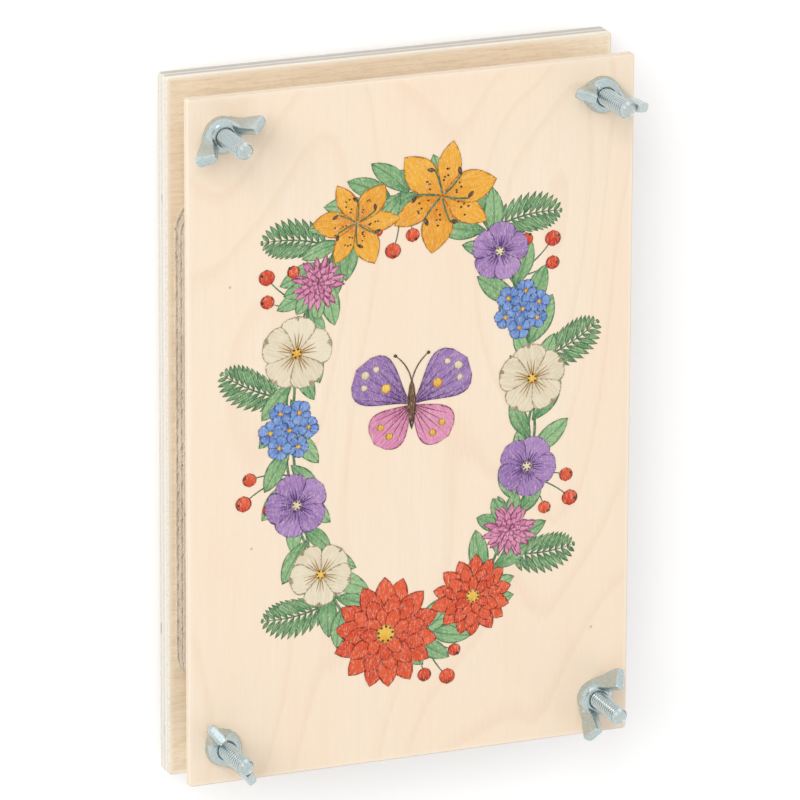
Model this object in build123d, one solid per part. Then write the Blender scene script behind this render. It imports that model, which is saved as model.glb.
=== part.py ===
from build123d import *
import os
from math import cos, pi, sin, sqrt

# Flower press: two plywood boards clamp a stack of corrugated cards and blotting papers.
# Millimetres. The press lies on its bolt heads: +Z runs along the bolts, out of the printed front board,
# +X to the right of that board and +Y to its top. The origin is under the middle of the press.

# Boards
BOARD_WIDTH = 160.0
BACK_LENGTH = 245.0
FRONT_LENGTH = 240.0
BACK_THICKNESS = 8.0
FRONT_THICKNESS = 3.0
BOARD_CORNER_ROUND = 1.2
BOARD_EDGE_CHAMFER = 0.4
BOLT_INSET_X = 12.0
BOLT_INSET_Y = 13.0
BOLT_HOLE_CLEARANCE = 0.3

# Carriage bolts: domed head, square neck that bites into the back board, threaded shank
BOLT_DIAMETER = 6.0
BOLT_LENGTH = 50.0
BOLT_TIP_CHAMFER = 0.8
HEAD_DIAMETER = 16.0
HEAD_HEIGHT = 3.6
HEAD_RIM = 0.6
NECK_WIDTH = 6.4
NECK_LENGTH = 4.2
NECK_CLEARANCE = 0.05

# Wing nuts: a forged domed boss with two bar-like wings that rise outwards and end square
NUT_WALL = 3.4
NUT_RIM_WALL = 0.6
NUT_FOOT_HEIGHT = 0.7
NUT_BOSS_HEIGHT = 4.2
NUT_THREAD_CLEARANCE = 0.05
NUT_COUNTERSINK = 0.4
WING_HEEL = 1.5
WING_RIM_GAP = 0.3
WING_REACH = 7.7
WING_TIP_LIFT = 9.0
WING_CROWN_REACH = 1.9
WING_CROWN_LIFT = 13.9
WING_ROOT_THICKNESS = 4.4
WING_TIP_THICKNESS = 3.3
WING_CORNER_ROUND = 1.5
WING_EDGE_CHAMFER = 0.4

# Sheets: rounded rectangles that lie between the upper and the lower bolts
SHEET_SIDE_INSET = 3.2
SHEET_TOP_GAP = 23.0
SHEET_BOTTOM_GAP = 13.0
SHEET_CORNER_ROUND = 12.0
SHEET_LOOSENESS = 0.5
PAPER_THICKNESS = 0.6
PAPER_INSET = 0.7
LEAF_GAP = 0.25

# Corrugated cards: two liners on a waved core whose tunnels open at the left and right edges
CARD_THICKNESS = 3.0
LINER_THICKNESS = 0.4
CORE_THICKNESS = 0.45
FLUTE_PITCH = 6.4
TUNNEL_FOOT = 0.42  # half the width of a tunnel on its liner, as a share of the pitch
TUNNEL_ARCH = (-0.25, 0.0, 0.25)  # where its arch follows the wave, in the same shares
CARD_SOLID_EDGE = 1.0

# How the wings stand, in degrees from +X, as each nut was left after tightening
WING_ANGLES = {"top_left": 29.0, "top_right": -16.0, "bottom_left": -55.0, "bottom_right": 63.0}

# The leaves of the stack from the back board up; plants lie in the gaps between two leaves
LEAVES = [("card", "paper"), ("paper", "card", "paper"), ("paper", "card", "paper"), ("paper", "card")]

bolt_x = BOARD_WIDTH / 2 - BOLT_INSET_X
bolt_y = FRONT_LENGTH / 2 - BOLT_INSET_Y
bolt_places = {
    "top_left": (-bolt_x, bolt_y),
    "top_right": (bolt_x, bolt_y),
    "bottom_left": (-bolt_x, -bolt_y),
    "bottom_right": (bolt_x, -bolt_y),
}
bolt_radius = BOLT_DIAMETER / 2
nut_base = bolt_radius + NUT_WALL
nut_rim = bolt_radius + NUT_RIM_WALL
sheet_width = BOARD_WIDTH - 2 * SHEET_SIDE_INSET
sheet_top = bolt_y - bolt_radius - SHEET_TOP_GAP
sheet_bottom = -bolt_y + bolt_radius + SHEET_BOTTOM_GAP
sheet_length = sheet_top - sheet_bottom
sheet_middle = (sheet_top + sheet_bottom) / 2
UPWARDS = (Align.CENTER, Align.CENTER, Align.MIN)
GOLDEN_ANGLE = pi * (3 - sqrt(5))


def plywood_board(length, thickness):
    """A board on the plane Z = 0 with sanded edges and a clearance hole for each bolt."""
    board = extrude(RectangleRounded(BOARD_WIDTH, length, BOARD_CORNER_ROUND), thickness)
    faces = board.faces().filter_by(Axis.Z)
    board = chamfer(faces.edges(), BOARD_EDGE_CHAMFER)
    for x, y in bolt_places.values():
        board -= Pos(x, y, 0) * Cylinder(bolt_radius + BOLT_HOLE_CLEARANCE, thickness, align=UPWARDS)
    return board


def neck_sockets():
    """The square sockets that the bolt necks press into the underside of the back board."""
    width = NECK_WIDTH + 2 * NECK_CLEARANCE
    depth = NECK_LENGTH + NECK_CLEARANCE
    return [Pos(x, y, 0) * Box(width, width, depth, align=UPWARDS) for x, y in bolt_places.values()]


def carriage_bolt():
    """A bolt on its domed head: a revolved head and shank with a chamfered tip, and a square neck."""
    head_radius = HEAD_DIAMETER / 2
    dome_height = HEAD_HEIGHT - HEAD_RIM
    tip = HEAD_HEIGHT + BOLT_LENGTH
    dome = TangentArc((0, 0), (head_radius, dome_height), tangent=(1, 0))
    rest = Polyline(
        (head_radius, dome_height),
        (head_radius, HEAD_HEIGHT),
        (bolt_radius, HEAD_HEIGHT),
        (bolt_radius, tip - BOLT_TIP_CHAMFER),
        (bolt_radius - BOLT_TIP_CHAMFER, tip),
        (0, tip),
        (0, 0),
    )
    bolt = revolve(Plane.XZ * make_face([dome, rest]), Axis.Z)
    return bolt + Pos(0, 0, HEAD_HEIGHT) * Box(NECK_WIDTH, NECK_WIDTH, NECK_LENGTH, align=UPWARDS)


def nut_wing():
    """One wing along +X: a bar that rises outwards from a heel at the boss, thins to its tip and ends square."""
    tip = nut_base + WING_REACH
    crown = nut_base + WING_CROWN_REACH
    shoulder = nut_rim + WING_RIM_GAP
    lean = (crown - shoulder) / (WING_CROWN_LIFT - NUT_BOSS_HEIGHT)
    inner = shoulder - lean * NUT_BOSS_HEIGHT
    side = Polyline(
        (inner, 0),
        (nut_base + WING_HEEL, 0),
        (tip, WING_TIP_LIFT),
        (crown, WING_CROWN_LIFT),
        close=True,
    )
    outline = make_face(Plane.XZ * side)
    outline = fillet(outline.vertices().sort_by(Axis.Z)[-2:], WING_CORNER_ROUND)
    wing = extrude(outline, WING_ROOT_THICKNESS / 2, both=True)
    plan = Polyline(
        (inner, -WING_ROOT_THICKNESS / 2),
        (tip, -WING_TIP_THICKNESS / 2),
        (tip, WING_TIP_THICKNESS / 2),
        (inner, WING_ROOT_THICKNESS / 2),
        close=True,
    )
    wing &= extrude(make_face(plan), WING_CROWN_LIFT)
    underside = wing.faces().sort_by(Axis.Z)[0]
    rims = [edge for edge in wing.edges() - underside.edges() if abs(edge.tangent_at(0.5).Y) < 0.5]
    return chamfer(rims, WING_EDGE_CHAMFER)


def wing_nut():
    """A nut on the plane Z = 0: a domed boss on a foot, two wings run into its sides, a countersunk bore."""
    bore = bolt_radius + NUT_THREAD_CLEARANCE
    mouth = bore + NUT_COUNTERSINK
    foot = Polyline((0, NUT_BOSS_HEIGHT), (0, 0), (nut_base, 0), (nut_base, NUT_FOOT_HEIGHT))
    dome = TangentArc((nut_base, NUT_FOOT_HEIGHT), (nut_rim, NUT_BOSS_HEIGHT), tangent=(0, 1))
    top = Line((nut_rim, NUT_BOSS_HEIGHT), (0, NUT_BOSS_HEIGHT))
    boss = revolve(Plane.YZ * make_face([foot, dome, top]), Axis.Z)
    wing = nut_wing()
    nut = boss + wing + Rot(0, 0, 180) * wing
    nut -= Cylinder(bore, NUT_BOSS_HEIGHT, align=UPWARDS)
    nut -= Cone(mouth, bore, NUT_COUNTERSINK, align=UPWARDS)
    nut -= Pos(0, 0, NUT_BOSS_HEIGHT - NUT_COUNTERSINK) * Cone(bore, mouth, NUT_COUNTERSINK, align=UPWARDS)
    return nut


def sheet_blank(thickness, inset):
    """A flat sheet with rounded corners on the plane Z = 0."""
    outline = RectangleRounded(sheet_width - 2 * inset, sheet_length - 2 * inset, SHEET_CORNER_ROUND - inset)
    return extrude(Pos(0, sheet_middle) * outline, thickness)


def flute_tunnel(height, wave):
    """The section of one tunnel under a wave of the core: flat on its liner, arched by the cosine wave."""
    arch = [(share * FLUTE_PITCH, height + wave * cos(2 * pi * share)) for share in TUNNEL_ARCH]
    feet = [(TUNNEL_FOOT * FLUTE_PITCH, 0), (-TUNNEL_FOOT * FLUTE_PITCH, 0)]
    return make_face(Polyline(*arch, *feet, close=True))


def corrugated_card():
    """A card with open tunnels along X: those below the core's waves alternate with those above."""
    inner = CARD_THICKNESS - 2 * LINER_THICKNESS
    wave = (inner - CORE_THICKNESS) / 2
    tunnel = extrude(Plane.YZ * flute_tunnel(wave, wave), sheet_width / 2, both=True)
    below = Pos(0, 0, LINER_THICKNESS) * tunnel
    above = Pos(0, 0, CARD_THICKNESS - LINER_THICKNESS) * Rot(180, 0, 0) * tunnel
    waves = int((sheet_length - 2 * CARD_SOLID_EDGE) / FLUTE_PITCH - 0.5)
    first = sheet_middle - (waves - 0.5) * FLUTE_PITCH / 2
    tunnels = [Pos(0, first + n * FLUTE_PITCH, 0) * below for n in range(waves)]
    tunnels += [Pos(0, first + (n + 0.5) * FLUTE_PITCH, 0) * above for n in range(waves)]
    return sheet_blank(CARD_THICKNESS, 0) - tunnels


def loose_shift(number):
    """How far a loose sheet has slid in its stack, a different way for each sheet."""
    way = number * GOLDEN_ANGLE
    return Pos(SHEET_LOOSENESS * cos(way), SHEET_LOOSENESS * sin(way), 0)


parts = {}
level = HEAD_HEIGHT
parts["back_board"] = Pos(0, 0, level) * (plywood_board(BACK_LENGTH, BACK_THICKNESS) - neck_sockets())
level += BACK_THICKNESS

blanks = {"card": corrugated_card(), "paper": sheet_blank(PAPER_THICKNESS, PAPER_INSET)}
thicknesses = {"card": CARD_THICKNESS, "paper": PAPER_THICKNESS}
names = {"card": "corrugated_card", "paper": "blotting_paper"}
counts = {"card": 0, "paper": 0}
for leaf in LEAVES:
    for kind in leaf:
        counts[kind] += 1
        shift = loose_shift(sum(counts.values()))
        parts[f"{names[kind]}_{counts[kind]}"] = Pos(0, 0, level) * shift * blanks[kind]
        level += thicknesses[kind]
    level += LEAF_GAP

parts["front_board"] = Pos(0, 0, level) * plywood_board(FRONT_LENGTH, FRONT_THICKNESS)
level += FRONT_THICKNESS

bolt = carriage_bolt()
nut = wing_nut()
for corner, (x, y) in bolt_places.items():
    parts[f"carriage_bolt_{corner}"] = Pos(x, y, 0) * bolt
    parts[f"wing_nut_{corner}"] = Pos(x, y, level) * Rot(0, 0, WING_ANGLES[corner]) * nut

os.makedirs("parts", exist_ok=True)
for name, shape in parts.items():
    export_step(shape, f"parts/{name}.step")
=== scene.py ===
import bmesh
import bpy
import numpy as np
from mathutils import Matrix, Vector


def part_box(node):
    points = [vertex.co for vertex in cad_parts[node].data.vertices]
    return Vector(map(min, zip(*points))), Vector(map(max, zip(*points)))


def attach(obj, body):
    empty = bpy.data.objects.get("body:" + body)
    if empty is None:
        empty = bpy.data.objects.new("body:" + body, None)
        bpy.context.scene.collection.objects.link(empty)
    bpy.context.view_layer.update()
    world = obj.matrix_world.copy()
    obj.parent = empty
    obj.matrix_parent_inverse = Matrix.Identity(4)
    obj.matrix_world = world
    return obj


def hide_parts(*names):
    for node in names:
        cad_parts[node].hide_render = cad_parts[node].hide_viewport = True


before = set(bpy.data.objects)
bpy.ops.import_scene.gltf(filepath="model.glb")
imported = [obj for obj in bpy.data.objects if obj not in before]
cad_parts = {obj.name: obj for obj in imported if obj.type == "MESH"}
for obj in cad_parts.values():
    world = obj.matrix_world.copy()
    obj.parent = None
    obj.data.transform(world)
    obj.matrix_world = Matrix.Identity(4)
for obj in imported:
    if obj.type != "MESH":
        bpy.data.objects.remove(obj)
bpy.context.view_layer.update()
bpy.context.scene.view_settings.view_transform = "Standard"

# The view: a long lens in front of the upright press, to its left and above it. The press lies on its back
# in the shared frame, so the top of its boards, +Y, is up in the picture.
MM = 0.001
VIEW_TURN, VIEW_RISE, VIEW_ROLL = np.radians((22.165, 17.835, 0.268))
VIEW_DISTANCE = 2731.7 * MM
VIEW_AIM_RIGHT, VIEW_AIM_UP = -3.84 * MM, 7.16 * MM
VIEW_LENS, VIEW_SENSOR, VIEW_REACH = 366.7, 36.0, 50.0

face_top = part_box("front_board")[1].z
back_way = np.array((
    -np.sin(VIEW_TURN) * np.cos(VIEW_RISE),
    np.sin(VIEW_RISE),
    np.cos(VIEW_TURN) * np.cos(VIEW_RISE),
))
level_right = np.array((np.cos(VIEW_TURN), 0.0, np.sin(VIEW_TURN)))
level_up = np.cross(back_way, level_right)
right_way = np.cos(VIEW_ROLL) * level_right + np.sin(VIEW_ROLL) * level_up
up_way = np.cross(back_way, right_way)
stand = np.array((0.0, 0.0, face_top)) + VIEW_DISTANCE * back_way
stand += VIEW_AIM_RIGHT * right_way + VIEW_AIM_UP * up_way
lens = bpy.data.cameras.new("view")
lens.lens = VIEW_LENS
lens.sensor_width = VIEW_SENSOR
lens.clip_end = VIEW_REACH
camera = bpy.data.objects.new("view", lens)
bpy.context.collection.objects.link(camera)
view_turn = Matrix(np.stack([right_way, up_way, back_way], -1).tolist()).to_4x4()
camera.matrix_world = Matrix.Translation(stand.tolist()) @ view_turn
bpy.context.scene.camera = camera


# The studio: a white sweep of paper under the press, which takes its shadow, a soft box at the upper left
# of the picture, a weaker one at the right, and pale walls all round. The metal mirrors the walls, a small
# lamp high up and the dim doorway beside the camera.
FLOOR_HALF = 6.0
SWEEP_WHITE = (0.93, 0.93, 0.93, 1.0)
SWEEP_ROUGHNESS, SWEEP_SHEEN, SWEEP_GLOW = 0.9, 0.1, 0.22
KEY_STAND, KEY_SIZE, KEY_POWER = Vector((-2.4, 1.68, 2.32)), 2.7, 65.5
FILL_STAND, FILL_SIZE, FILL_POWER = Vector((2.0, -1.2, 0.9)), 1.2, 4.0
SPARK_STAND, SPARK_SIZE, SPARK_POWER = Vector((-0.67, 1.44, 1.8)), 0.45, 2.6
WALL_LIGHT = 0.67
DOOR_WAY, DOOR_SHADE = (-0.54, 0.23, 0.81), 0.9
DOOR_CORE, DOOR_RIM = np.cos(np.radians(6)), np.cos(np.radians(16))


def feed(tree, node, inputs):
    """Set each input of a shader node to a value, or join it to another node's output."""
    for key, value in inputs.items():
        if isinstance(value, bpy.types.NodeSocket):
            tree.links.new(value, node.inputs[key])
        else:
            node.inputs[key].default_value = value


def wire(tree, kind, inputs=None, **settings):
    """A new shader node with its settings made and its inputs fed."""
    node = tree.nodes.new("ShaderNode" + kind)
    for key, value in settings.items():
        setattr(node, key, value)
    feed(tree, node, inputs or {})
    return node


def sums(tree, way, first, second=0.0):
    """The output of a math node that joins two numbers."""
    return wire(tree, "Math", {0: first, 1: second}, operation=way).outputs[0]


def times(tree, first, second):
    """The product of two numbers."""
    return sums(tree, "MULTIPLY", first, second)


def without(tree, share):
    """What a share leaves of one."""
    return sums(tree, "SUBTRACT", 1.0, share)


def between(tree, share, low, high):
    """The number between two others, by a share from 0 to 1."""
    return wire(tree, "MapRange", {"Value": share, "To Min": low, "To Max": high}).outputs[0]


def seen_rays(tree):
    """One for rays that come from the camera, mirrored or through glass, and nought for the light that falls
    on the press."""
    path = wire(tree, "LightPath")
    seen = sums(tree, "MAXIMUM", path.outputs["Is Camera Ray"], path.outputs["Is Transmission Ray"])
    return sums(tree, "MAXIMUM", seen, path.outputs["Is Glossy Ray"])


def soft_box(name, place, size, power, aim, mirrored):
    """A square lamp at a place, turned to face the aim, which metal mirrors or not."""
    light = bpy.data.lights.new(name, "AREA")
    light.size = size
    light.energy = power
    lamp = bpy.data.objects.new(name, light)
    lamp.matrix_world = Matrix.Translation(place) @ (place - aim).to_track_quat("Z", "Y").to_matrix().to_4x4()
    lamp.visible_glossy = mirrored
    bpy.context.collection.objects.link(lamp)


corners = np.array([(-1, -1, 0), (1, -1, 0), (1, 1, 0), (-1, 1, 0)]) * FLOOR_HALF
floor_mesh = bpy.data.meshes.new("floor")
floor_mesh.from_pydata(corners.tolist(), [], [(0, 1, 2, 3)])
floor = bpy.data.objects.new("floor", floor_mesh)
bpy.context.collection.objects.link(floor)
sweep = bpy.data.materials.new("white_sweep")
sweep.use_nodes = True
tree = sweep.node_tree
matt = tree.nodes["Principled BSDF"]
inputs = {"Base Color": SWEEP_WHITE, "Roughness": SWEEP_ROUGHNESS, "Specular IOR Level": SWEEP_SHEEN}
feed(tree, matt, inputs)
lift = times(tree, seen_rays(tree), SWEEP_GLOW)
glow = wire(tree, "Emission", {"Strength": lift})
both = wire(tree, "AddShader", {0: matt.outputs[0], 1: glow.outputs[0]})
feed(tree, tree.nodes["Material Output"], {"Surface": both.outputs[0]})
floor_mesh.materials.append(sweep)

world = bpy.data.worlds.new("pale_walls")
world.use_nodes = True
tree = world.node_tree
level = between(tree, seen_rays(tree), WALL_LIGHT, 1.0)
way = wire(tree, "TexCoord").outputs["Generated"]
to_door = wire(tree, "VectorMath", {0: way, 1: DOOR_WAY}, operation="DOT_PRODUCT").outputs["Value"]
inputs = {"Value": to_door, "From Min": DOOR_RIM, "From Max": DOOR_CORE, "To Max": DOOR_SHADE}
shade = wire(tree, "MapRange", inputs, interpolation_type="SMOOTHSTEP").outputs[0]
shade = times(tree, shade, wire(tree, "LightPath").outputs["Is Glossy Ray"])
level = times(tree, level, without(tree, shade))
feed(tree, tree.nodes["Background"], {"Strength": level, "Color": (1.0, 1.0, 1.0, 1.0)})
bpy.context.scene.world = world
middle = Vector((0, 0, face_top))
soft_box("key_soft_box", KEY_STAND, KEY_SIZE, KEY_POWER, middle, False)
soft_box("fill_soft_box", FILL_STAND, FILL_SIZE, FILL_POWER, middle, False)
soft_box("spark_lamp", SPARK_STAND, SPARK_SIZE, SPARK_POWER, middle, True)


# The back board: birch plywood of five plies glued crosswise, sawn and lightly sanded. Its face grain runs
# across the press, and the sawn edges show the plies in turn as long grain and as darker end grain.
BACK_PLIES = 5
EDGE_DEPTH = 0.45 * MM
HIGHLIGHT_BAND, HIGHLIGHT_BAND_SHARE = 2.2 * MM, 0.75
CLOUD_GRAIN, FIGURE_GRAIN, FIBRE_GRAIN = (24.0, 9.0), (150.0, 7.0), (1400.0, 45.0)
RIPPLE_GRAIN, PORE_GRAIN = (1100.0, 180.0), (2600.0, 330.0)
RING_FEATHER = 0.004
PIN_COUNT, PIN_CORE, PIN_RIM, PIN_SHARE = 9.0, 0.003, 0.006, 0.4
SPECK_SCALES, LINE_SCALES, GAP_SCALES = (900.0, 900.0, 900.0), (60.0, 60.0, 1500.0), (45.0, 45.0, 300.0)
WORN_SHARE, GAP_SHARE = 0.6, 0.8
GLUE_SHARE, GLUE_EXTRA = 0.15, 0.55
REAR_SHADE_BASE, REAR_SHADE_EXTRA = 0.25, 0.55
WOOD_SHEEN, WOOD_BUMP, WOOD_RELIEF = 0.25, 0.25, 0.05 * MM
WOOD_SMOOTH, WOOD_ROUGH = 0.62, 0.78


def srgb(red, green, blue):
    """A colour written as the eye sees it, 0 to 255, as linear light."""
    share = (np.array((red, green, blue)) / 255 + 0.055) / 1.055
    return (*(share ** 2.4), 1.0)


def blend(tree, share, first, second, way="MIX"):
    """The colour between two others, by a share from 0 to 1."""
    settings = {"data_type": "RGBA", "blend_type": way}
    return wire(tree, "Mix", {0: share, 6: first, 7: second}, **settings).outputs[2]


def slope(tree, value, low, high):
    """A smooth step from 0 at the low value to 1 at the high one."""
    inputs = {"Value": value, "From Min": low, "From Max": high}
    return wire(tree, "MapRange", inputs, interpolation_type="SMOOTHSTEP").outputs[0]


def stretched_noise(tree, place, scales, detail=3.0, roughness=0.55, distortion=0.0):
    """Cloudy noise whose lumps are drawn out: scales count lumps to the metre along X, Y and Z."""
    spread = wire(tree, "Mapping", {"Vector": place, "Scale": scales}).outputs[0]
    inputs = {"Vector": spread, "Scale": 1.0, "Detail": detail}
    inputs.update({"Roughness": roughness, "Distortion": distortion})
    return wire(tree, "TexNoise", inputs).outputs["Fac"]


def bumps(tree, height, strength, depth):
    """The way a surface faces when a height, drawn out to a depth, tilts it."""
    return wire(tree, "Bump", {"Height": height, "Strength": strength, "Distance": depth}).outputs[0]


def finish(name):
    """A new material with its node tree, its surface shader and the place on the piece."""
    material = bpy.data.materials.new(name)
    material.use_nodes = True
    tree = material.node_tree
    return material, tree, tree.nodes["Principled BSDF"], wire(tree, "TexCoord").outputs["Object"]


def dress(node, material):
    """Give a piece of the frame its own material in place of the plain one."""
    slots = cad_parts[node].data.materials
    slots.clear()
    slots.append(material)


def plywood(name, node, plies, along_y, colours):
    """Face grain of peeled veneer: growth rings as the contour lines of a slow hilly noise, each dark on one
    side and fading on the other, under drawn-out fibres, ripples, short pores and a few pin flecks, with a
    painted highlight in a band along the face's edges. On the sawn edges the plies are bands by height,
    every other one turned to speckled end grain, with dark glue between, and painted shade greys them
    towards the back face. A grain counts lumps to the metre across and along the fibres."""
    low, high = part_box(node)
    material, tree, shader, place = finish(name)
    axes = wire(tree, "SeparateXYZ", {0: place}).outputs

    def grain(across, along, **shape):
        scales = (across, along, across) if along_y else (along, across, across)
        return stretched_noise(tree, place, scales, **shape)

    def near_edges(start, full):
        return [slope(tree, sums(tree, "ABSOLUTE", axes[i]), high[i] - start, high[i] - full) for i in (0, 1)]

    clouds = slope(tree, grain(*CLOUD_GRAIN, detail=2.0), 0.3, 0.7)
    figure = slope(tree, grain(*FIGURE_GRAIN, detail=3.0, distortion=0.6), 0.35, 0.7)
    fibres = slope(tree, grain(*FIBRE_GRAIN, detail=4.0), 0.3, 0.75)
    ripple = slope(tree, grain(*RIPPLE_GRAIN, detail=3.0, distortion=0.8), 0.42, 0.68)
    pores = slope(tree, grain(*PORE_GRAIN, detail=1.0), 0.66, 0.74)
    hills = grain(*colours["ring_hills"], detail=1.5, roughness=0.35)
    hills = sums(tree, "ADD", hills, times(tree, fibres, RING_FEATHER))
    phase = sums(tree, "FRACT", times(tree, hills, colours["ring_count"]))
    rings = times(tree, slope(tree, phase, 0.66, 0.95), without(tree, slope(tree, phase, 0.92, 1.0)))
    cells = wire(tree, "TexVoronoi", {"Vector": place, "Scale": PIN_COUNT}, voronoi_dimensions="2D")
    pins = without(tree, slope(tree, cells.outputs["Distance"], PIN_CORE, PIN_RIM))
    face = blend(tree, clouds, colours["face"], colours["warm"])
    layers = ((rings, "ring", "ring"), (figure, "figure", "figure"), (fibres, "fibre", "fibre"),
              (ripple, "ripple", "pore"), (pores, "pore", "pore"))
    for mask, layer, tint in layers:
        face = blend(tree, times(tree, mask, colours[layer + "_share"]), face, colours[tint])
    face = blend(tree, times(tree, pins, PIN_SHARE), face, colours["gap"])

    inputs = {"Value": axes[2], "From Min": low.z, "From Max": high.z, "To Max": plies}
    height = wire(tree, "MapRange", inputs).outputs[0]
    odd = sums(tree, "MODULO", sums(tree, "FLOOR", height), 2.0)
    from_line = sums(tree, "PINGPONG", height, 0.5)
    glue = without(tree, slope(tree, from_line, 0.02, 0.09))
    side_x, side_y = near_edges(EDGE_DEPTH, EDGE_DEPTH / 2)
    turned = odd if along_y else without(tree, odd)
    endwise = sums(tree, "ABSOLUTE", sums(tree, "SUBTRACT", turned, side_y))
    specks = slope(tree, stretched_noise(tree, place, SPECK_SCALES), 0.35, 0.8)
    lines = slope(tree, stretched_noise(tree, place, LINE_SCALES), 0.3, 0.8)
    long_grain = blend(tree, lines, colours["edge"], colours["edge_line"])
    end_grain = blend(tree, specks, colours["end"], colours["end_speck"])
    edge = blend(tree, endwise, long_grain, end_grain)
    worn = times(tree, times(tree, endwise, side_y), WORN_SHARE)
    edge = blend(tree, worn, edge, colours["worn"])
    glued = sums(tree, "ADD", times(tree, side_y, GLUE_EXTRA), GLUE_SHARE)
    edge = blend(tree, times(tree, glue, glued), edge, colours["glue"])
    inputs = {"Value": height, "From Max": plies, "To Min": 1.0, "To Max": 0.0}
    behind = wire(tree, "MapRange", inputs).outputs[0]
    # Painted shade: the sawn edges grow greyer towards the back face, more on the top and bottom edges.
    rear_shading = sums(tree, "ADD", times(tree, side_y, REAR_SHADE_EXTRA), REAR_SHADE_BASE)
    edge = blend(tree, times(tree, behind, rear_shading), edge, colours["rear_shade"])
    gaps = slope(tree, stretched_noise(tree, place, GAP_SCALES, detail=1.0), 0.75, 0.765)
    gaps = times(tree, gaps, slope(tree, behind, 0.4, 0.6))
    edge = blend(tree, times(tree, gaps, times(tree, endwise, GAP_SHARE)), edge, colours["gap"])
    sawn = sums(tree, "MAXIMUM", side_x, side_y)
    # Painted highlight: a lighter band along the face's edges.
    edge_highlight = times(tree, sums(tree, "MAXIMUM", *near_edges(HIGHLIGHT_BAND, HIGHLIGHT_BAND / 4)), HIGHLIGHT_BAND_SHARE)
    face = blend(tree, edge_highlight, face, colours["edge_highlight"])

    relief = sums(tree, "ADD", fibres, times(tree, pores, -0.8))
    relief = sums(tree, "ADD", relief, times(tree, times(tree, specks, sawn), 2.0))
    feed(tree, shader, {
        "Base Color": blend(tree, sawn, face, edge),
        "Normal": bumps(tree, relief, WOOD_BUMP, WOOD_RELIEF),
        "Roughness": between(tree, fibres, WOOD_SMOOTH, WOOD_ROUGH),
        "Specular IOR Level": WOOD_SHEEN,
    })
    return material


BACK_COLOURS = {
    "face": srgb(250, 236, 212),
    "warm": srgb(250, 232, 204),
    "figure": srgb(237, 216, 186),
    "fibre": srgb(229, 206, 174),
    "pore": srgb(202, 176, 142),
    "ring": srgb(228, 202, 168),
    "ring_hills": (15.0, 3.4),
    "ring_count": 20.0,
    "ring_share": 0.3,
    "figure_share": 0.35,
    "fibre_share": 0.42,
    "ripple_share": 0.22,
    "pore_share": 0.45,
    "edge_highlight": srgb(254, 243, 224),
    "edge": srgb(248, 243, 232),
    "edge_line": srgb(241, 235, 224),
    "end": srgb(240, 234, 224),
    "end_speck": srgb(220, 211, 199),
    "worn": srgb(192, 178, 162),
    "rear_shade": srgb(196, 192, 188),
    "glue": srgb(190, 168, 142),
    "gap": srgb(84, 78, 72),
}
dress("back_board", plywood("sanded_birch_back", "back_board", BACK_PLIES, False, BACK_COLOURS))


# The front board: thin birch plywood of three plies, face grain upright, bleached pale and sanded smooth
# for printing. It slides down the four bolts on to the stack.
FRONT_PLIES = 3
FRONT_COLOURS = {
    "face": srgb(254, 236, 214),
    "warm": srgb(254, 232, 207),
    "figure": srgb(250, 227, 201),
    "fibre": srgb(248, 224, 197),
    "pore": srgb(236, 208, 178),
    "ring": srgb(243, 214, 186),
    "ring_hills": (12.0, 3.6),
    "ring_count": 20.0,
    "ring_share": 0.36,
    "figure_share": 0.25,
    "fibre_share": 0.24,
    "ripple_share": 0.05,
    "pore_share": 0.2,
    "edge_highlight": srgb(254, 237, 217),
    "edge": srgb(250, 232, 208),
    "edge_line": srgb(247, 226, 200),
    "end": srgb(245, 225, 200),
    "end_speck": srgb(235, 212, 185),
    "worn": srgb(232, 212, 188),
    "rear_shade": srgb(236, 220, 202),
    "glue": srgb(224, 198, 168),
    "gap": srgb(140, 116, 92),
}
dress("front_board", plywood("bleached_birch_front", "front_board", FRONT_PLIES, True, FRONT_COLOURS))


# Corrugated cards: grey-brown board of two liners glued to a waved core, cut with rounded corners, so that
# the flutes open on the left and right edges. They keep the papers flat and let damp out.
CARD_LINER = 0.5 * MM
CARD_CORE = 0.34 * MM
CARD_CORNER = 12.0 * MM
FLUTE_PITCH = 6.4 * MM
FLUTE_STEPS = 18
CARD_FRAY = 0.16 * MM
CARD_SMOOTH = 40
CARD_PALE, CARD_DARK = srgb(238, 226, 209), srgb(210, 195, 176)
CARD_SHRED, CARD_FLUTE_SHADE = srgb(136, 119, 100), srgb(188, 166, 140)
CARD_BODIES = {1: "base", 2: "leaf_2", 3: "leaf_3", 4: "leaf_4"}
PULP_CLOUDS, PULP_FIBRES, PULP_SHREDS = (60.0, 60.0, 60.0), (2200.0, 700.0, 2200.0), (1100.0, 420.0, 900.0)
CLOUD_SHARE, FIBRE_SHARE, SHRED_SHARE, FLUTE_SHADE_SHARE = 0.4, 0.6, 0.7, 0.6
PULP_BUMP, PULP_RELIEF, PULP_ROUGHNESS, PULP_SHEEN = 0.6, 0.12 * MM, 0.95, 0.1


def grid_faces(rows, columns, close_rows=False, close_columns=False):
    """The corner numbers of the four-sided faces between neighbouring points of a grid."""
    first = np.arange(rows if close_rows else rows - 1)
    second = np.arange(columns if close_columns else columns - 1)
    here, across = np.meshgrid(first, second, indexing="ij")
    below, beside = (here + 1) % rows, (across + 1) % columns
    near, far = here * columns, below * columns
    return np.stack([near + across, near + beside, far + beside, far + across], -1).reshape(-1, 4)


def tube_faces(rows, sides):
    """The faces of a tube of rings, with a flat face on each end."""
    ends = [list(range(sides)), list(range((rows - 1) * sides, rows * sides))]
    return grid_faces(rows, sides, close_columns=True).tolist() + ends


def joined(shells):
    """Several surfaces as one: their points in a row, and the corner numbers of each counted on."""
    starts = np.cumsum([0] + [len(points) for points, _ in shells[:-1]])
    points = np.concatenate([points for points, _ in shells])
    faces = [[corner + start for corner in face] for start, (_, own) in zip(starts, shells) for face in own]
    return points, faces


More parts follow.
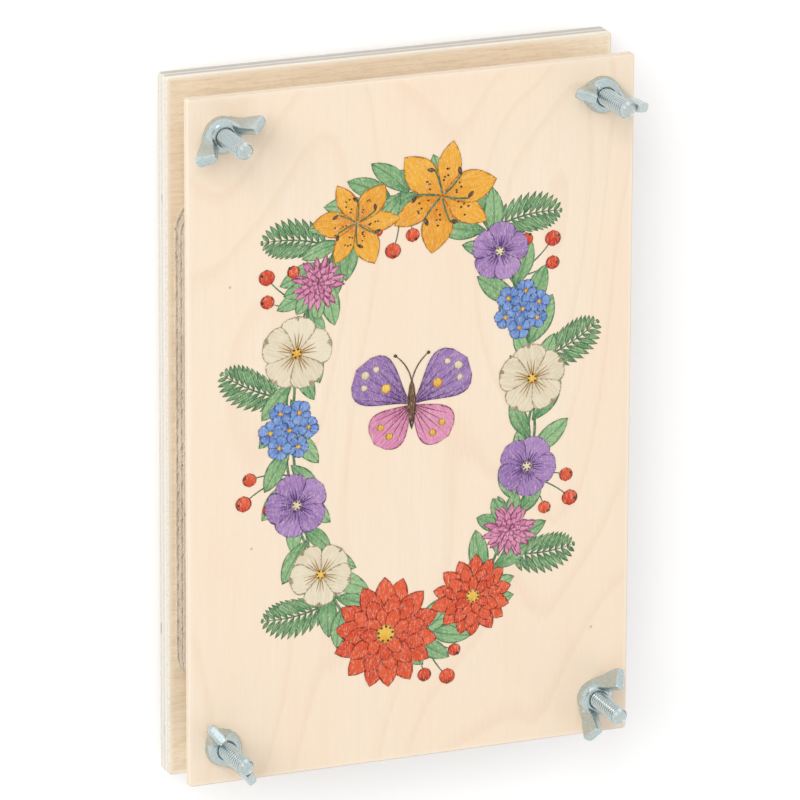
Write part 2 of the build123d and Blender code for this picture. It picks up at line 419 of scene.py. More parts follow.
def make_piece(name, points, faces, material, smooth_angle=None, **values):
    """A mesh object from points and faces, its faces turned outwards, smooth up to an angle, with a number
    kept at each point for every further name."""
    mesh = bpy.data.meshes.new(name)
    mesh.from_pydata(np.asarray(points).reshape(-1, 3).tolist(), [], [list(map(int, face)) for face in faces])
    for key, value in values.items():
        layer = mesh.attributes.new(key, "FLOAT", "POINT")
        layer.data.foreach_set("value", np.asarray(value, np.float32).reshape(-1))
    work = bmesh.new()
    work.from_mesh(mesh)
    bmesh.ops.recalc_face_normals(work, faces=work.faces[:])
    work.to_mesh(mesh)
    work.free()
    if smooth_angle is not None:
        mesh.shade_smooth()
        mesh.set_sharp_from_angle(angle=np.radians(smooth_angle))
    mesh.materials.append(material)
    piece = bpy.data.objects.new(name, mesh)
    bpy.context.collection.objects.link(piece)
    return piece


def half_width(along, half_x, half_y, corner):
    """Half the width of a rectangle with round corners, at a distance from its middle."""
    into = np.clip(np.abs(along) - (half_y - corner), 0, corner)
    return half_x - corner + np.sqrt(np.maximum(corner ** 2 - into ** 2, 0))


def card_layer(middle, half_x, half_y, under, over, seed):
    """A closed sheet as a four-sided ring carried along Y: its ends follow the rounded outline with a little
    fraying, and its lower and upper heights are given for each station."""
    along = np.linspace(-half_y, half_y, len(under))
    jitter = np.random.default_rng(seed).normal(0, CARD_FRAY, (2, len(under)))
    reach = half_width(along, half_x, half_y, CARD_CORNER)
    ends = np.stack([np.abs(jitter[0]) - reach, reach - np.abs(jitter[1])])
    left, right = middle[0] + ends
    side = middle[1] + along
    ring = [(left, side, under), (right, side, under), (right, side, over), (left, side, over)]
    points = np.stack([np.stack(corner, -1) for corner in ring], 1)
    return points.reshape(-1, 3), tube_faces(len(under), len(ring))


def corrugated_card(node, seed):
    """Two flat liners and a core between them whose height is a sine wave along Y."""
    low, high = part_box(node)
    half_x, half_y = (high.x - low.x) / 2, (high.y - low.y) / 2
    middle = ((high.x + low.x) / 2, (high.y + low.y) / 2)
    stations = int(2 * half_y / FLUTE_PITCH * FLUTE_STEPS)
    wave = np.sin(np.linspace(0, 2 * np.pi * 2 * half_y / FLUTE_PITCH, stations) + seed)
    swing = (high.z - low.z - 2 * CARD_LINER - CARD_CORE) / 2
    core = (high.z + low.z) / 2 + swing * wave
    flat = np.ones(stations)
    layers = [
        card_layer(middle, half_x, half_y, low.z * flat, (low.z + CARD_LINER) * flat, seed),
        card_layer(middle, half_x, half_y, core - CARD_CORE / 2, core + CARD_CORE / 2, seed + 20),
        card_layer(middle, half_x, half_y, (high.z - CARD_LINER) * flat, high.z * flat, seed + 40),
    ]
    core_part = np.repeat((0.0, 1.0, 0.0), [len(points) for points, _ in layers])
    return *joined(layers), core_part


def fibre_board(name, pale, dark, shred, flute_shade):
    """Grey-brown pulp: fine drawn-out fibres over slow clouds, with a few dark shreds and a fuzzy relief; a
    waved core, marked at its points, is darkened by painted shade of its flutes."""
    material, tree, shader, place = finish(name)
    clouds = slope(tree, stretched_noise(tree, place, PULP_CLOUDS, detail=2.0), 0.3, 0.7)
    fibres = slope(tree, stretched_noise(tree, place, PULP_FIBRES, detail=4.0), 0.35, 0.7)
    shreds = slope(tree, stretched_noise(tree, place, PULP_SHREDS, detail=2.0), 0.66, 0.74)
    mottle = sums(tree, "ADD", times(tree, clouds, CLOUD_SHARE), times(tree, fibres, FIBRE_SHARE))
    colour = blend(tree, mottle, pale, dark)
    colour = blend(tree, times(tree, shreds, SHRED_SHARE), colour, shred)
    core_part = wire(tree, "Attribute", attribute_name="core_part").outputs["Fac"]
    # Painted shade of the flutes: the waved core is darker than the liners.
    colour = blend(tree, times(tree, core_part, FLUTE_SHADE_SHARE), colour, flute_shade)
    feed(tree, shader, {
        "Base Color": colour,
        "Normal": bumps(tree, fibres, PULP_BUMP, PULP_RELIEF),
        "Roughness": PULP_ROUGHNESS,
        "Specular IOR Level": PULP_SHEEN,
    })
    return material


cardboard = fibre_board("grey_brown_cardboard", CARD_PALE, CARD_DARK, CARD_SHRED, CARD_FLUTE_SHADE)
for number, body in CARD_BODIES.items():
    node = f"corrugated_card_{number}"
    points, faces, core_part = corrugated_card(node, number)
    card = make_piece(f"fluted_card_{number}", points, faces, cardboard, CARD_SMOOTH, core_part=core_part)
    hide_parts(node)
    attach(card, body)


# Blotting papers: soft unsized sheets a little smaller than the cards, two to an opening, between which the
# plants lie. The cut sheets stay as they come, with a felted surface.
BLOTTING_COUNT = 6
BLOTTING_PALE, BLOTTING_DARK = srgb(240, 235, 225), srgb(224, 217, 205)
BLOTTING_SHRED = srgb(188, 178, 162)
blotting = fibre_board("felted_blotting_paper", BLOTTING_PALE, BLOTTING_DARK, BLOTTING_SHRED, BLOTTING_DARK)
for number in range(1, BLOTTING_COUNT + 1):
    dress(f"blotting_paper_{number}", blotting)


# Carriage bolts: M6 steel, zinc plated, with a domed head, a square neck that bites into the back board and
# a thread rolled along the whole shank, drawn coarser than it is so that it shows. The tip is chamfered.
BOLT_RADIUS = 3.0 * MM
BOLT_TIP_CHAMFER = 0.8 * MM
BOLT_END_RINGS = (0.92, 0.6, 0.1)
BOLT_SIDES = 48
BOLT_SMOOTH = 35
THREAD_PITCH = 1.5 * MM
THREAD_DEPTH = 0.66 * MM
THREAD_ROOT, THREAD_FLANK = 0.12, 0.7
THREAD_STEPS = 14
HEAD_RADIUS = 8.0 * MM
HEAD_HEIGHT = 3.6 * MM
HEAD_RIM = 0.6 * MM
HEAD_ROWS = 14
NECK_WIDTH = 6.4 * MM
NECK_LENGTH = 4.2 * MM
CORNERS = ("top_left", "top_right", "bottom_left", "bottom_right")
ZINC_CLOUDS, ZINC_CRYSTALS = (220.0, 220.0, 220.0), (1900.0, 1900.0, 1900.0)
ZINC_BLUE, ZINC_GREEN, ZINC_DEEP = srgb(193, 208, 209), srgb(200, 206, 200), srgb(167, 184, 188)
ZINC_SHADE, ZINC_SHADE_SHARE = srgb(70, 92, 98), 0.8
ZINC_HIGHLIGHT, ZINC_HIGHLIGHT_SHARE = srgb(240, 246, 245), 0.6
ZINC_RELIEF, ZINC_METAL = 0.03 * MM, 0.72


def carriage_bolt(foot, tip):
    """A surface round the bolt's axis. Its radius is an arc of the dome over the head, the distance to a
    square over the neck, and over the thread a zigzag of the height less the turn, cut by the tip's cone."""
    angle = np.linspace(0, 2 * np.pi, BOLT_SIDES, endpoint=False)
    dome_height = HEAD_HEIGHT - HEAD_RIM
    dome_radius = (HEAD_RADIUS ** 2 + dome_height ** 2) / (2 * dome_height)
    bend = np.linspace(0.02, 1, HEAD_ROWS) * np.arcsin(HEAD_RADIUS / dome_radius)
    dome_r, dome_z = dome_radius * np.sin(bend), dome_radius * (1 - np.cos(bend))
    rim_r = HEAD_RADIUS * np.array([1.0, 1.0, 0.985])
    rim_z = np.array([dome_height + 0.05 * MM, HEAD_HEIGHT - 0.1 * MM, HEAD_HEIGHT])
    square = NECK_WIDTH / 2 / np.maximum(np.abs(np.cos(angle)), np.abs(np.sin(angle)))
    neck_z = np.array([HEAD_HEIGHT, HEAD_HEIGHT + NECK_LENGTH])
    length = tip - foot
    turns = (length - neck_z[1]) / THREAD_PITCH
    thread_z = np.linspace(neck_z[1], length, int(turns * THREAD_STEPS))
    phase = (thread_z[:, None] / THREAD_PITCH - angle / (2 * np.pi)) % 1
    tooth = np.clip((np.abs(2 * phase - 1) - THREAD_ROOT) / THREAD_FLANK, 0, 1)
    cone = BOLT_RADIUS - BOLT_TIP_CHAMFER + (length - thread_z[:, None])
    thread_r = np.minimum(BOLT_RADIUS - THREAD_DEPTH * (1 - tooth), cone)
    round_r = np.concatenate([dome_r, rim_r])[:, None] + 0 * angle
    end_r = np.array(BOLT_END_RINGS)[:, None] * thread_r[-1]
    end_z = np.full(len(end_r), length)
    radius = np.concatenate([round_r, np.stack([square, square]), thread_r, end_r])
    height = np.concatenate([dome_z, rim_z, neck_z, thread_z, end_z])[:, None] + 0 * angle
    points = np.stack([radius * np.cos(angle), radius * np.sin(angle), height + foot], -1)
    groove = np.zeros(radius.shape)
    groove[-len(thread_r) - len(end_r):-len(end_r)] = np.where(thread_r < cone, 1 - tooth, 0)
    return points.reshape(-1, 3), tube_faces(len(points), BOLT_SIDES), groove


def zinc_plating(name, rough_low, rough_high, bump):
    """Bluish zinc: clouds of slightly warmer and greener passivation and a fine crystalline relief, with
    painted shade in the thread's roots and the creases, and a painted highlight on the convex edges."""
    material, tree, shader, place = finish(name)
    clouds = slope(tree, stretched_noise(tree, place, ZINC_CLOUDS, detail=2.0), 0.35, 0.7)
    crystals = stretched_noise(tree, place, ZINC_CRYSTALS)
    bulge = wire(tree, "NewGeometry").outputs["Pointiness"]
    colour = blend(tree, clouds, ZINC_BLUE, ZINC_GREEN)
    colour = blend(tree, slope(tree, crystals, 0.42, 0.7), colour, ZINC_DEEP)
    crease = without(tree, slope(tree, bulge, 0.445, 0.5))
    groove = wire(tree, "Attribute", attribute_name="groove").outputs["Fac"]
    # Painted shade darkens the creases and the thread's roots.
    painted_shade = sums(tree, "MAXIMUM", crease, slope(tree, groove, 0.15, 0.9))
    colour = blend(tree, times(tree, painted_shade, ZINC_SHADE_SHARE), colour, ZINC_SHADE)
    # Painted highlight lightens the convex edges.
    painted_highlight = times(tree, slope(tree, bulge, 0.505, 0.58), ZINC_HIGHLIGHT_SHARE)
    colour = blend(tree, painted_highlight, colour, ZINC_HIGHLIGHT)
    feed(tree, shader, {
        "Base Color": colour,
        "Normal": bumps(tree, crystals, bump, ZINC_RELIEF),
        "Roughness": between(tree, crystals, rough_low, rough_high),
        "Metallic": ZINC_METAL,
    })
    return material


bolt_zinc = zinc_plating("rolled_zinc_bolt", rough_low=0.1, rough_high=0.18, bump=0.05)
for corner in CORNERS:
    node = f"carriage_bolt_{corner}"
    low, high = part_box(node)
    points, faces, groove = carriage_bolt(low.z, high.z)
    points = points + np.array(((low.x + high.x) / 2, (low.y + high.y) / 2, 0))
    bolt = make_piece(f"bolt_{corner}", points, faces, bolt_zinc, BOLT_SMOOTH, groove=groove)
    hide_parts(node)
    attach(bolt, "base")


# Wing nuts: drop forged steel, zinc plated: a domed boss with a countersunk bore, and two bar-like wings
# that rise outwards and end square, all run together in the forging and tumbled soft at the edges.
NUT_BASE, NUT_RIM, NUT_BORE = 6.4 * MM, 3.6 * MM, 3.05 * MM
NUT_FOOT, NUT_HEIGHT, NUT_COUNTERSINK = 0.7 * MM, 4.2 * MM, 0.4 * MM
WING_LOWER = np.array(((5.6, 0.1), (10.5, 3.9), (13.9, 9.1))) * MM
WING_UPPER = np.array(((3.4, 2.6), (5.6, 8.4), (7.9, 13.9))) * MM
WING_ROOT_THICK, WING_TIP_THICK = 4.4 * MM, 3.4 * MM
WING_FLARE, WING_FLARE_REACH = 4.2 * MM, 0.45
WING_SQUARENESS = 5.0
WING_END, WING_END_CLOSED = 0.05, 0.92
WING_END_THIN, WING_END_LOW = 0.5, 0.25
NUT_VOXEL, NUT_TUMBLE, NUT_TUMBLES = 0.2 * MM, 0.5, 5
NUT_SMOOTH = 60
WING_ANGLES = {"top_left": 29.0, "top_right": -16.0, "bottom_left": -55.0, "bottom_right": 63.0}


def bent(corners, count):
    """A smooth curve through three points: the parabola that passes the middle one half way."""
    share = np.linspace(0, 1, count)[:, None]
    start, middle, end = corners
    pull = 2 * middle - (start + end) / 2
    return (1 - share) ** 2 * start + 2 * share * (1 - share) * pull + share ** 2 * end


def nut_boss(sides=96):
    """A closed profile carried round the axis: foot, dome as a quarter of an ellipse, rim, bore and both
    countersinks."""
    bow = np.linspace(0, np.pi / 2, 16)
    dome_r = NUT_RIM + (NUT_BASE - NUT_RIM) * np.cos(bow)
    dome_z = NUT_FOOT + (NUT_HEIGHT - NUT_FOOT) * np.sin(bow)
    bore_r = NUT_BORE + NUT_COUNTERSINK * np.array((1, 0, 0, 1))
    bore_z = np.array((NUT_HEIGHT, NUT_HEIGHT - NUT_COUNTERSINK, NUT_COUNTERSINK, 0))
    bore = np.stack([bore_r, bore_z], -1)
    profile = np.concatenate([[(NUT_BASE, 0)], np.stack([dome_r, dome_z], -1), bore])
    angle = np.linspace(0, 2 * np.pi, sides, endpoint=False)
    radius, height = profile[:, :1], profile[:, 1:]
    points = np.stack([radius * np.cos(angle), radius * np.sin(angle), height + 0 * angle], -1)
    return points.reshape(-1, 3), grid_faces(len(profile), sides, True, True).tolist()


def nut_wing(way, rows=40, sides=48):
    """A rounded-square section carried from the boss to the tip, spanning the wing's lower and upper edge
    curves; it flares with the square of the nearness to the boss, and the last rows draw in to a soft end."""
    lower, upper = bent(WING_LOWER, rows), bent(WING_UPPER, rows)
    angle = np.linspace(0, 2 * np.pi, sides, endpoint=False)
    power = 2 / WING_SQUARENESS
    across = np.sign(np.cos(angle)) * np.abs(np.cos(angle)) ** power
    upright = np.sign(np.sin(angle)) * np.abs(np.sin(angle)) ** power
    share = np.linspace(0, 1, rows)[:, None]
    thick = WING_ROOT_THICK + (WING_TIP_THICK - WING_ROOT_THICK) * share
    thick = thick + WING_FLARE * np.maximum(1 - share / WING_FLARE_REACH, 0) ** 2
    ease = np.sqrt(1 - np.clip((share - 1 + WING_END) / WING_END, 0, WING_END_CLOSED) ** 2)
    middle, reach = (lower + upper) / 2, (upper - lower) / 2
    tall = upright * (1 - WING_END_LOW * (1 - ease))
    out = middle[:, :1] + reach[:, :1] * tall
    rise = middle[:, 1:] + reach[:, 1:] * tall
    wide = thick / 2 * across * (1 - WING_END_THIN * (1 - ease))
    points = np.stack([way * out, way * wide, rise], -1)
    return points.reshape(-1, 3), tube_faces(rows, sides)


def forged_nut(material):
    """The points and faces of boss and wings run together by a fine voxel skin, then smoothed as tumbling
    does, with the seat left flat."""
    blank = make_piece("nut_blank", *joined([nut_boss(), nut_wing(1), nut_wing(-1)]), material)
    skin = blank.modifiers.new("skin", "REMESH")
    skin.mode = "VOXEL"
    skin.voxel_size = NUT_VOXEL
    tumble = blank.modifiers.new("tumble", "SMOOTH")
    tumble.factor = NUT_TUMBLE
    tumble.iterations = NUT_TUMBLES
    shape = bpy.data.meshes.new_from_object(blank.evaluated_get(bpy.context.evaluated_depsgraph_get()))
    places = np.empty(3 * len(shape.vertices))
    shape.vertices.foreach_get("co", places)
    corners = [list(face.vertices) for face in shape.polygons]
    bpy.data.objects.remove(blank)
    places = places.reshape(-1, 3)
    places[:, 2] = np.maximum(places[:, 2], 0.0)
    return places, corners


nut_zinc = zinc_plating("forged_zinc_nut", rough_low=0.18, rough_high=0.3, bump=0.25)
nut_points, nut_faces = forged_nut(nut_zinc)
for corner in CORNERS:
    node = f"wing_nut_{corner}"
    low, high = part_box(node)
    swing = np.radians(WING_ANGLES[corner])
    spin = np.array(((np.cos(swing), np.sin(swing), 0), (-np.sin(swing), np.cos(swing), 0), (0, 0, 1)))
    place = np.array(((low.x + high.x) / 2, (low.y + high.y) / 2, low.z))
    nut = make_piece(f"nut_{corner}", nut_points @ spin + place, nut_faces, nut_zinc, NUT_SMOOTH)
    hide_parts(node)
    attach(nut, f"nut_{corner}")


# The print: a garland of garden flowers, leaves and berries round a butterfly, in coloured pencil on the bare
# wood of the front board. The colour lies on the wood as a film, so each leaf and petal is a very thin closed
# plate, laid over those drawn before it.
PRINT_STEP, PRINT_SHUFFLE, PRINT_FILM = 0.02 * MM, 0.002 * MM, 0.008 * MM
GARLAND_MIDDLE, GARLAND_HALF = np.array((0.0, 2.0)), np.array((44.0, 78.0))
STEM, FERN, TWIG, UNDER_LEAF, LEAF, BERRY, PETAL, INNER, HEART, DOT, TOP = range(11)
PENCIL_STREAKS, PENCIL_HATCH, PENCIL_TOOTH = (1.9, 0.22, 1.0), (4.2, 0.5, 1.0), (2600.0, 900.0, 2600.0)
PENCIL_LINE, PENCIL_ROUGHNESS, PENCIL_SHEEN = 0.85, 0.75, 0.15
VEIN_SLANT, VEIN_SPACING = 1.1, 1.3
FERN_LENGTH, TWIG_LENGTH, LEAF_LENGTHS, LEAF_STEP = 27.0, 19.0, (13, 19), 8.5
STEM_SWAY, STEM_WAVES = 1.3, 11
dice = np.random.default_rng(11)
drawing = []


def pencil(name, light, deep, line, veins=0.0):
    """Pencil strokes: streaks along the petal between a light and a deep colour, deeper at the root, a broken
    dark outline by the distance to the rim, veins by the way across, and wood grain left bare in between."""
    material, tree, shader, place = finish(name)

    def value(key):
        return wire(tree, "Attribute", attribute_name=key).outputs["Fac"]

    across, along, share, rim, tone = (value(key) for key in ("across", "along", "share", "rim", "tone"))
    seat = times(tree, tone, 90.0)
    spot = wire(tree, "CombineXYZ", {0: across, 1: along, 2: seat}).outputs[0]
    streaks = slope(tree, stretched_noise(tree, spot, PENCIL_STREAKS), 0.34, 0.66)
    hatch = slope(tree, stretched_noise(tree, spot, PENCIL_HATCH, detail=2.0), 0.42, 0.62)
    root = without(tree, slope(tree, share, 0.0, 0.62))
    depth = sums(tree, "ADD", times(tree, streaks, 0.5), times(tree, root, 0.6))
    depth = sums(tree, "ADD", depth, times(tree, sums(tree, "SUBTRACT", tone, 0.5), 0.5))
    colour = blend(tree, wire(tree, "Clamp", {0: depth}).outputs[0], light, deep)
    if veins:
        side = sums(tree, "ABSOLUTE", across)
        slant = sums(tree, "SUBTRACT", along, times(tree, side, VEIN_SLANT))
        ribs = slope(tree, sums(tree, "PINGPONG", slant, VEIN_SPACING), 0.95, VEIN_SPACING)
        middle = without(tree, slope(tree, side, 0.12, 0.4))
        vein = sums(tree, "MAXIMUM", times(tree, ribs, 0.6), middle)
        colour = blend(tree, times(tree, vein, veins), colour, line)
    wander = times(tree, streaks, 0.5)
    stroke = slope(tree, sums(tree, "SUBTRACT", rim, wander), -0.12, 0.42)
    edge = times(tree, without(tree, stroke), PENCIL_LINE)
    colour = blend(tree, edge, colour, line)
    tooth = slope(tree, stretched_noise(tree, place, PENCIL_TOOTH, detail=2.0), 0.5, 0.66)
    bare = times(tree, tooth, sums(tree, "ADD", times(tree, hatch, 0.25), 0.12))
    feed(tree, shader, {
        "Base Color": blend(tree, bare, colour, FRONT_COLOURS["face"]),
        "Roughness": PENCIL_ROUGHNESS,
        "Specular IOR Level": PENCIL_SHEEN,
    })
    return material


def lay(colour, layer, points, along, across, rim, tone):
    """Keep a batch of grids for the drawing, each as rows along and columns across, in millimetres."""
    count, rows, columns = points.shape[:3]
    lift = PRINT_STEP * (layer + 1) + PRINT_SHUFFLE * (3 * (np.arange(count) % 3) + len(drawing) % 3)
    place = np.empty((count, rows, columns, 3))
    place[..., :2] = points * MM
    place[..., 2] = face_top + lift[:, None, None]
    share = np.broadcast_to(np.linspace(0, 1, rows)[:, None], (count, rows, columns))
    values = {"along": along, "across": across, "share": share, "rim": rim}
    values["tone"] = np.broadcast_to(tone[:, None, None], (count, rows, columns))
    corners = grid_faces(rows, columns)[:, ::-1]
    starts = np.arange(count)[:, None, None] * rows * columns
    drawing.append((colour, place.reshape(-1, 3), (corners + starts).reshape(-1, 4),
                    {key: np.asarray(value, float).reshape(-1) for key, value in values.items()}))


def petals(colour, layer, roots, angles, lengths, widths, belly=1.0, blunt=0.7, notch=0.0, bend=0.0,
           grid=(11, 9)):
    """Petals as grids: half their width is a power of the sine of a power of the way along, a notch draws the
    middle of the tip back, and a bend carries the tip sideways with the square of the way."""
    angles = np.atleast_1d(np.asarray(angles, float))
    count = len(angles)
    roots = np.broadcast_to(np.asarray(roots, float), (count, 2))
    length, width, bend = (np.broadcast_to(size, count)[:, None, None] for size in (lengths, widths, bend))
    way = np.linspace(0, 1, grid[0])[None, :, None]
    side = np.linspace(-1, 1, grid[1])[None, None, :]
    half = width / 2 * np.maximum(np.sin(np.pi * way ** belly), 0.0) ** blunt + 0.05
    across = half * side
    along = length * (way - notch * (1 - np.abs(side)) * way ** 8)
    rim = np.minimum(half * (1 - np.abs(side)), length * (1 - way) + 0.02)
    bow = bend * length * way ** 2
    spin = angles[:, None, None]
    x = roots[:, 0, None, None] + along * np.cos(spin) - (across + bow) * np.sin(spin)
    y = roots[:, 1, None, None] + along * np.sin(spin) + (across + bow) * np.cos(spin)
    full = (count, *grid)
    tone = dice.uniform(0, 1, count)
    lay(colour, layer, np.stack([x, y], -1), np.broadcast_to(along, full), np.broadcast_to(across, full),
        np.broadcast_to(rim, full), tone)


def strokes(colour, layer, paths, width, thin=0.4):
    """Pencil lines: paths as rows of points, each widened to both sides and thinned towards its end."""
    paths = np.asarray(paths, float)
    ahead = np.gradient(paths, axis=1)
    ahead /= np.linalg.norm(ahead, axis=-1, keepdims=True)
    out = np.stack([-ahead[..., 1], ahead[..., 0]], -1)
    steps = paths.shape[1]
    half = width / 2 * (1 - (1 - thin) * np.linspace(0, 1, steps) ** 2)[None, :, None]
    side = np.linspace(-1, 1, 3)[None, None, :]
    across = np.broadcast_to(half * side, (len(paths), steps, 3))
    points = paths[:, :, None, :] + across[..., None] * out[:, :, None, :]
    far = np.linalg.norm(np.diff(paths, axis=1, prepend=paths[:, :1]), axis=-1).cumsum(1)[:, :, None]
    rim = np.broadcast_to(half * (1 - np.abs(side)), across.shape)
    tone = dice.uniform(0, 1, len(paths))
    lay(colour, layer, points, np.broadcast_to(far, across.shape), across, rim, tone)


def discs(colour, layer, middles, radius, grid=(9, 9)):
    """Round spots: petals as wide as long, with almost a circle's outline."""
    middles = np.atleast_2d(np.asarray(middles, float))
    start = middles - np.array((0, 1)) * np.reshape(np.broadcast_to(radius, len(middles)), (-1, 1))
    size = 2 * np.broadcast_to(radius, len(middles))
    petals(colour, layer, start, np.full(len(middles), np.pi / 2), size, size, blunt=0.5, grid=grid)


def around(count, turn=0.0, wobble=0.06):
    """Angles evenly round a flower, each a little off."""
    return turn + 2 * np.pi * np.arange(count) / count + dice.normal(0, wobble, count)


def facing(angles, distance):
    """The offsets at a distance along the angles."""
    return np.stack([np.cos(angles), np.sin(angles)], -1) * np.asarray(distance)[..., None]


def garland(turn, out=0.0):
    """A place on the garland's oval at a turn in degrees, moved outwards, and the angle of the way on."""
    turn = np.radians(turn)
    spoke = np.stack([np.cos(turn), np.sin(turn)], -1)
    place = GARLAND_MIDDLE + spoke * (GARLAND_HALF + np.asarray(out)[..., None])
    heading = np.arctan2(GARLAND_HALF[1] * np.cos(turn), -GARLAND_HALF[0] * np.sin(turn))
    return place, heading


def dahlia(middle, radius, turn):
    """Three rings of pointed petals, each shorter than the one below, and a dotted gold heart."""
    for layer, count, reach, wide in ((PETAL, 14, 1.0, 0.4), (INNER, 11, 0.74, 0.34), (HEART, 9, 0.48, 0.26)):
        angles = around(count, turn + layer)
        lengths = radius * reach * dice.uniform(0.92, 1.04, count)
        petals("red", layer, middle, angles, lengths, radius * wide, belly=1.35, blunt=0.75)
    discs("gold", DOT, middle, radius * 0.17)
    ring = around(9, turn)
    discs("brown", TOP, middle + facing(ring, radius * 0.13), radius * 0.022, grid=(5, 5))


def lily(middle, radius, turn):
    """Three broad petals over three narrow ones, freckles near the throat, and six stamens."""
    ways = around(3, turn + np.pi / 3)
    petals("orange", PETAL, middle, ways, radius * 0.96, radius * 0.44, belly=1.1, blunt=0.85, bend=0.08)
    ways = around(3, turn)
    petals("orange", INNER, middle, ways, radius, radius * 0.58, belly=1.1, blunt=0.85, bend=-0.06)
    ways = np.repeat(around(6, turn), 5) + dice.normal(0, 0.13, 30)
    freckles = middle + facing(ways, radius * dice.uniform(0.24, 0.55, 30))
    discs("brown", HEART, freckles, radius * 0.019, grid=(5, 5))
    ways = around(6, turn + 0.4)
    share = np.linspace(0.05, 0.5, 8)[None, :]
    swept = ways[:, None] + 0.35 * share
    strokes("green", DOT, middle + facing(swept, radius * share), radius * 0.035, thin=0.8)
    tips = middle + facing(ways + 0.17, radius * 0.47)
    petals("brown", TOP, tips, ways + 1.2, radius * 0.15, radius * 0.07, grid=(6, 5))


def five_petals(middle, radius, turn, colour, notch, eye):
    """Five broad petals, notched or whole, with a star of dark lines from the eye."""
    ways = around(5, turn)
    petals(colour, PETAL, middle, ways, radius, radius * 0.98, 1.75, 0.62, notch, grid=(13, 11))
    ways = np.repeat(around(5, turn, 0.0), 3) + np.tile((-0.22, 0.0, 0.22), 5)
    share = np.linspace(0.12, 0.55, 6)[None, :]
    rays = middle + facing(ways[:, None] + 0 * share, radius * share)
    strokes(colour + "_line", INNER, rays, radius * 0.035, thin=0.2)
    discs(eye, HEART, middle, radius * 0.16)
    discs("brown", DOT, middle + facing(around(6, turn), radius * 0.11), radius * 0.03, grid=(5, 5))


def clover(middle, radius, turn):
    """A round head of many short florets in three tiers, over three small leaves."""
    leaves = turn + np.array((-2.5, 2.5, np.pi))
    petals("green", BERRY, middle, leaves, radius * 1.35, radius * 0.6, belly=1.2)
    for layer, count, reach in ((PETAL, 18, 1.0), (INNER, 15, 0.72), (HEART, 12, 0.46)):
        ways = around(count, turn + layer, 0.1)
        lengths = radius * reach * dice.uniform(0.88, 1.06, count)
        petals("pink", layer, middle, ways, lengths, radius * 0.24, belly=1.5, grid=(8, 5))
    petals("pink", DOT, middle, around(6, turn), radius * 0.26, radius * 0.16, belly=1.4, grid=(7, 5))


def blue_cluster(middle, radius, turn):
    """Seven little round flowers with gold eyes, close together."""
    ways = around(6, turn, 0.1)
    spots = np.concatenate([[middle], middle + facing(ways, radius * 0.62)])
    for number, spot in enumerate(spots):
        size = radius * dice.uniform(0.36, 0.42)
        layer = (PETAL, INNER)[number % 2]
        ways = around(5, turn + number)
        petals("blue", layer, spot, ways, size, size * 0.95, belly=1.6, blunt=0.55, grid=(8, 7))
        discs("gold", HEART, spot, size * 0.2, grid=(6, 6))


def fern(root, heading, length, curl):
    """A bent stalk with leaflets in pairs that shorten to the tip."""
    share = np.linspace(0, 1, 12)
    swept = heading + curl * share
    path = root + np.cumsum(facing(swept, length / len(share)), 0)
    strokes("green", TWIG, path[None], 0.7, thin=0.3)
    reach = length * 0.32 * np.sin(np.pi * (0.2 + 0.8 * share[1:])) ** 0.8 + 1.0
    for side in (-1, 1):
        ways = swept[1:] + side * 0.85
        petals("green", FERN, path[1:], ways, reach, reach * 0.12 + 1.0, blunt=0.8, grid=(7, 5))


def berry_twig(root, heading, length, side):
    """A thin twig with three short stalks, each with a round berry and a dark tip."""
    share = np.linspace(0, 1, 10)
    ways = heading + np.array((-0.45, 0.0, 0.5)) * side
    reach = length * np.array((0.8, 1.0, 0.72))
    paths = root + facing(ways[:, None] + 0.3 * side * share, reach[:, None] * share)
    strokes("green", TWIG, paths, 0.6, thin=0.5)
    discs("red", BERRY, paths[:, -1], length * np.array((0.13, 0.15, 0.12)))
    discs("brown", BERRY + 0.5, paths[:, -1] + facing(ways, length * 0.1), length * 0.03, grid=(5, 5))


def butterfly(middle, span):
    """Two fore wings and two hind wings with spots near their rims, a slim body and two feelers."""
    middle = np.asarray(middle)
    fore, hind = np.array((0.62, np.pi - 0.62)), np.array((-0.75, np.pi + 0.75))
    petals("pink", PETAL, middle, hind, span * 0.42, span * 0.34, belly=1.7, blunt=0.6, grid=(13, 11))
    petals("violet", INNER, middle, fore, span * 0.56, span * 0.42, belly=2.0, blunt=0.62, grid=(13, 11))
    share = np.linspace(0.1, 0.9, 8)
    for way in (*fore, *hind):
        ways = way + np.linspace(-0.42, 0.42, 5)
        reach = span * np.where(np.sin(way) > 0, 0.5, 0.36)
        strokes("brown", HEART, middle + facing(ways[:, None] + 0 * share, reach * share), 0.28, thin=0.2)
    for way in fore:
        spots = middle + facing(way + np.array((-0.2, 0.0, 0.2)), span * np.array((0.43, 0.47, 0.43)))
        discs("cream", DOT, spots, span * np.array((0.028, 0.036, 0.028)), grid=(6, 6))
        discs("gold", DOT, middle + facing(np.array([way]), span * 0.26), span * 0.04, grid=(7, 7))
    for way in hind:
        spots = middle + facing(way + np.array((-0.2, 0.15)), span * 0.3)
        discs("gold", DOT, spots, span * 0.03, grid=(6, 6))
    petals("brown", DOT, middle - (0, span * 0.2), np.pi / 2, span * 0.4, span * 0.065, belly=1.1, blunt=0.6)
    share = np.linspace(0, 1, 9)
    ways = np.pi / 2 + np.array((-1, 1))[:, None] * (0.15 + 0.4 * share)
    feelers = middle + (0, span * 0.18) + facing(ways, span * 0.26 * share)
    strokes("brown", DOT, feelers, 0.45, thin=0.7)
    discs("brown", TOP, feelers[:, -1], span * 0.014, grid=(5, 5))


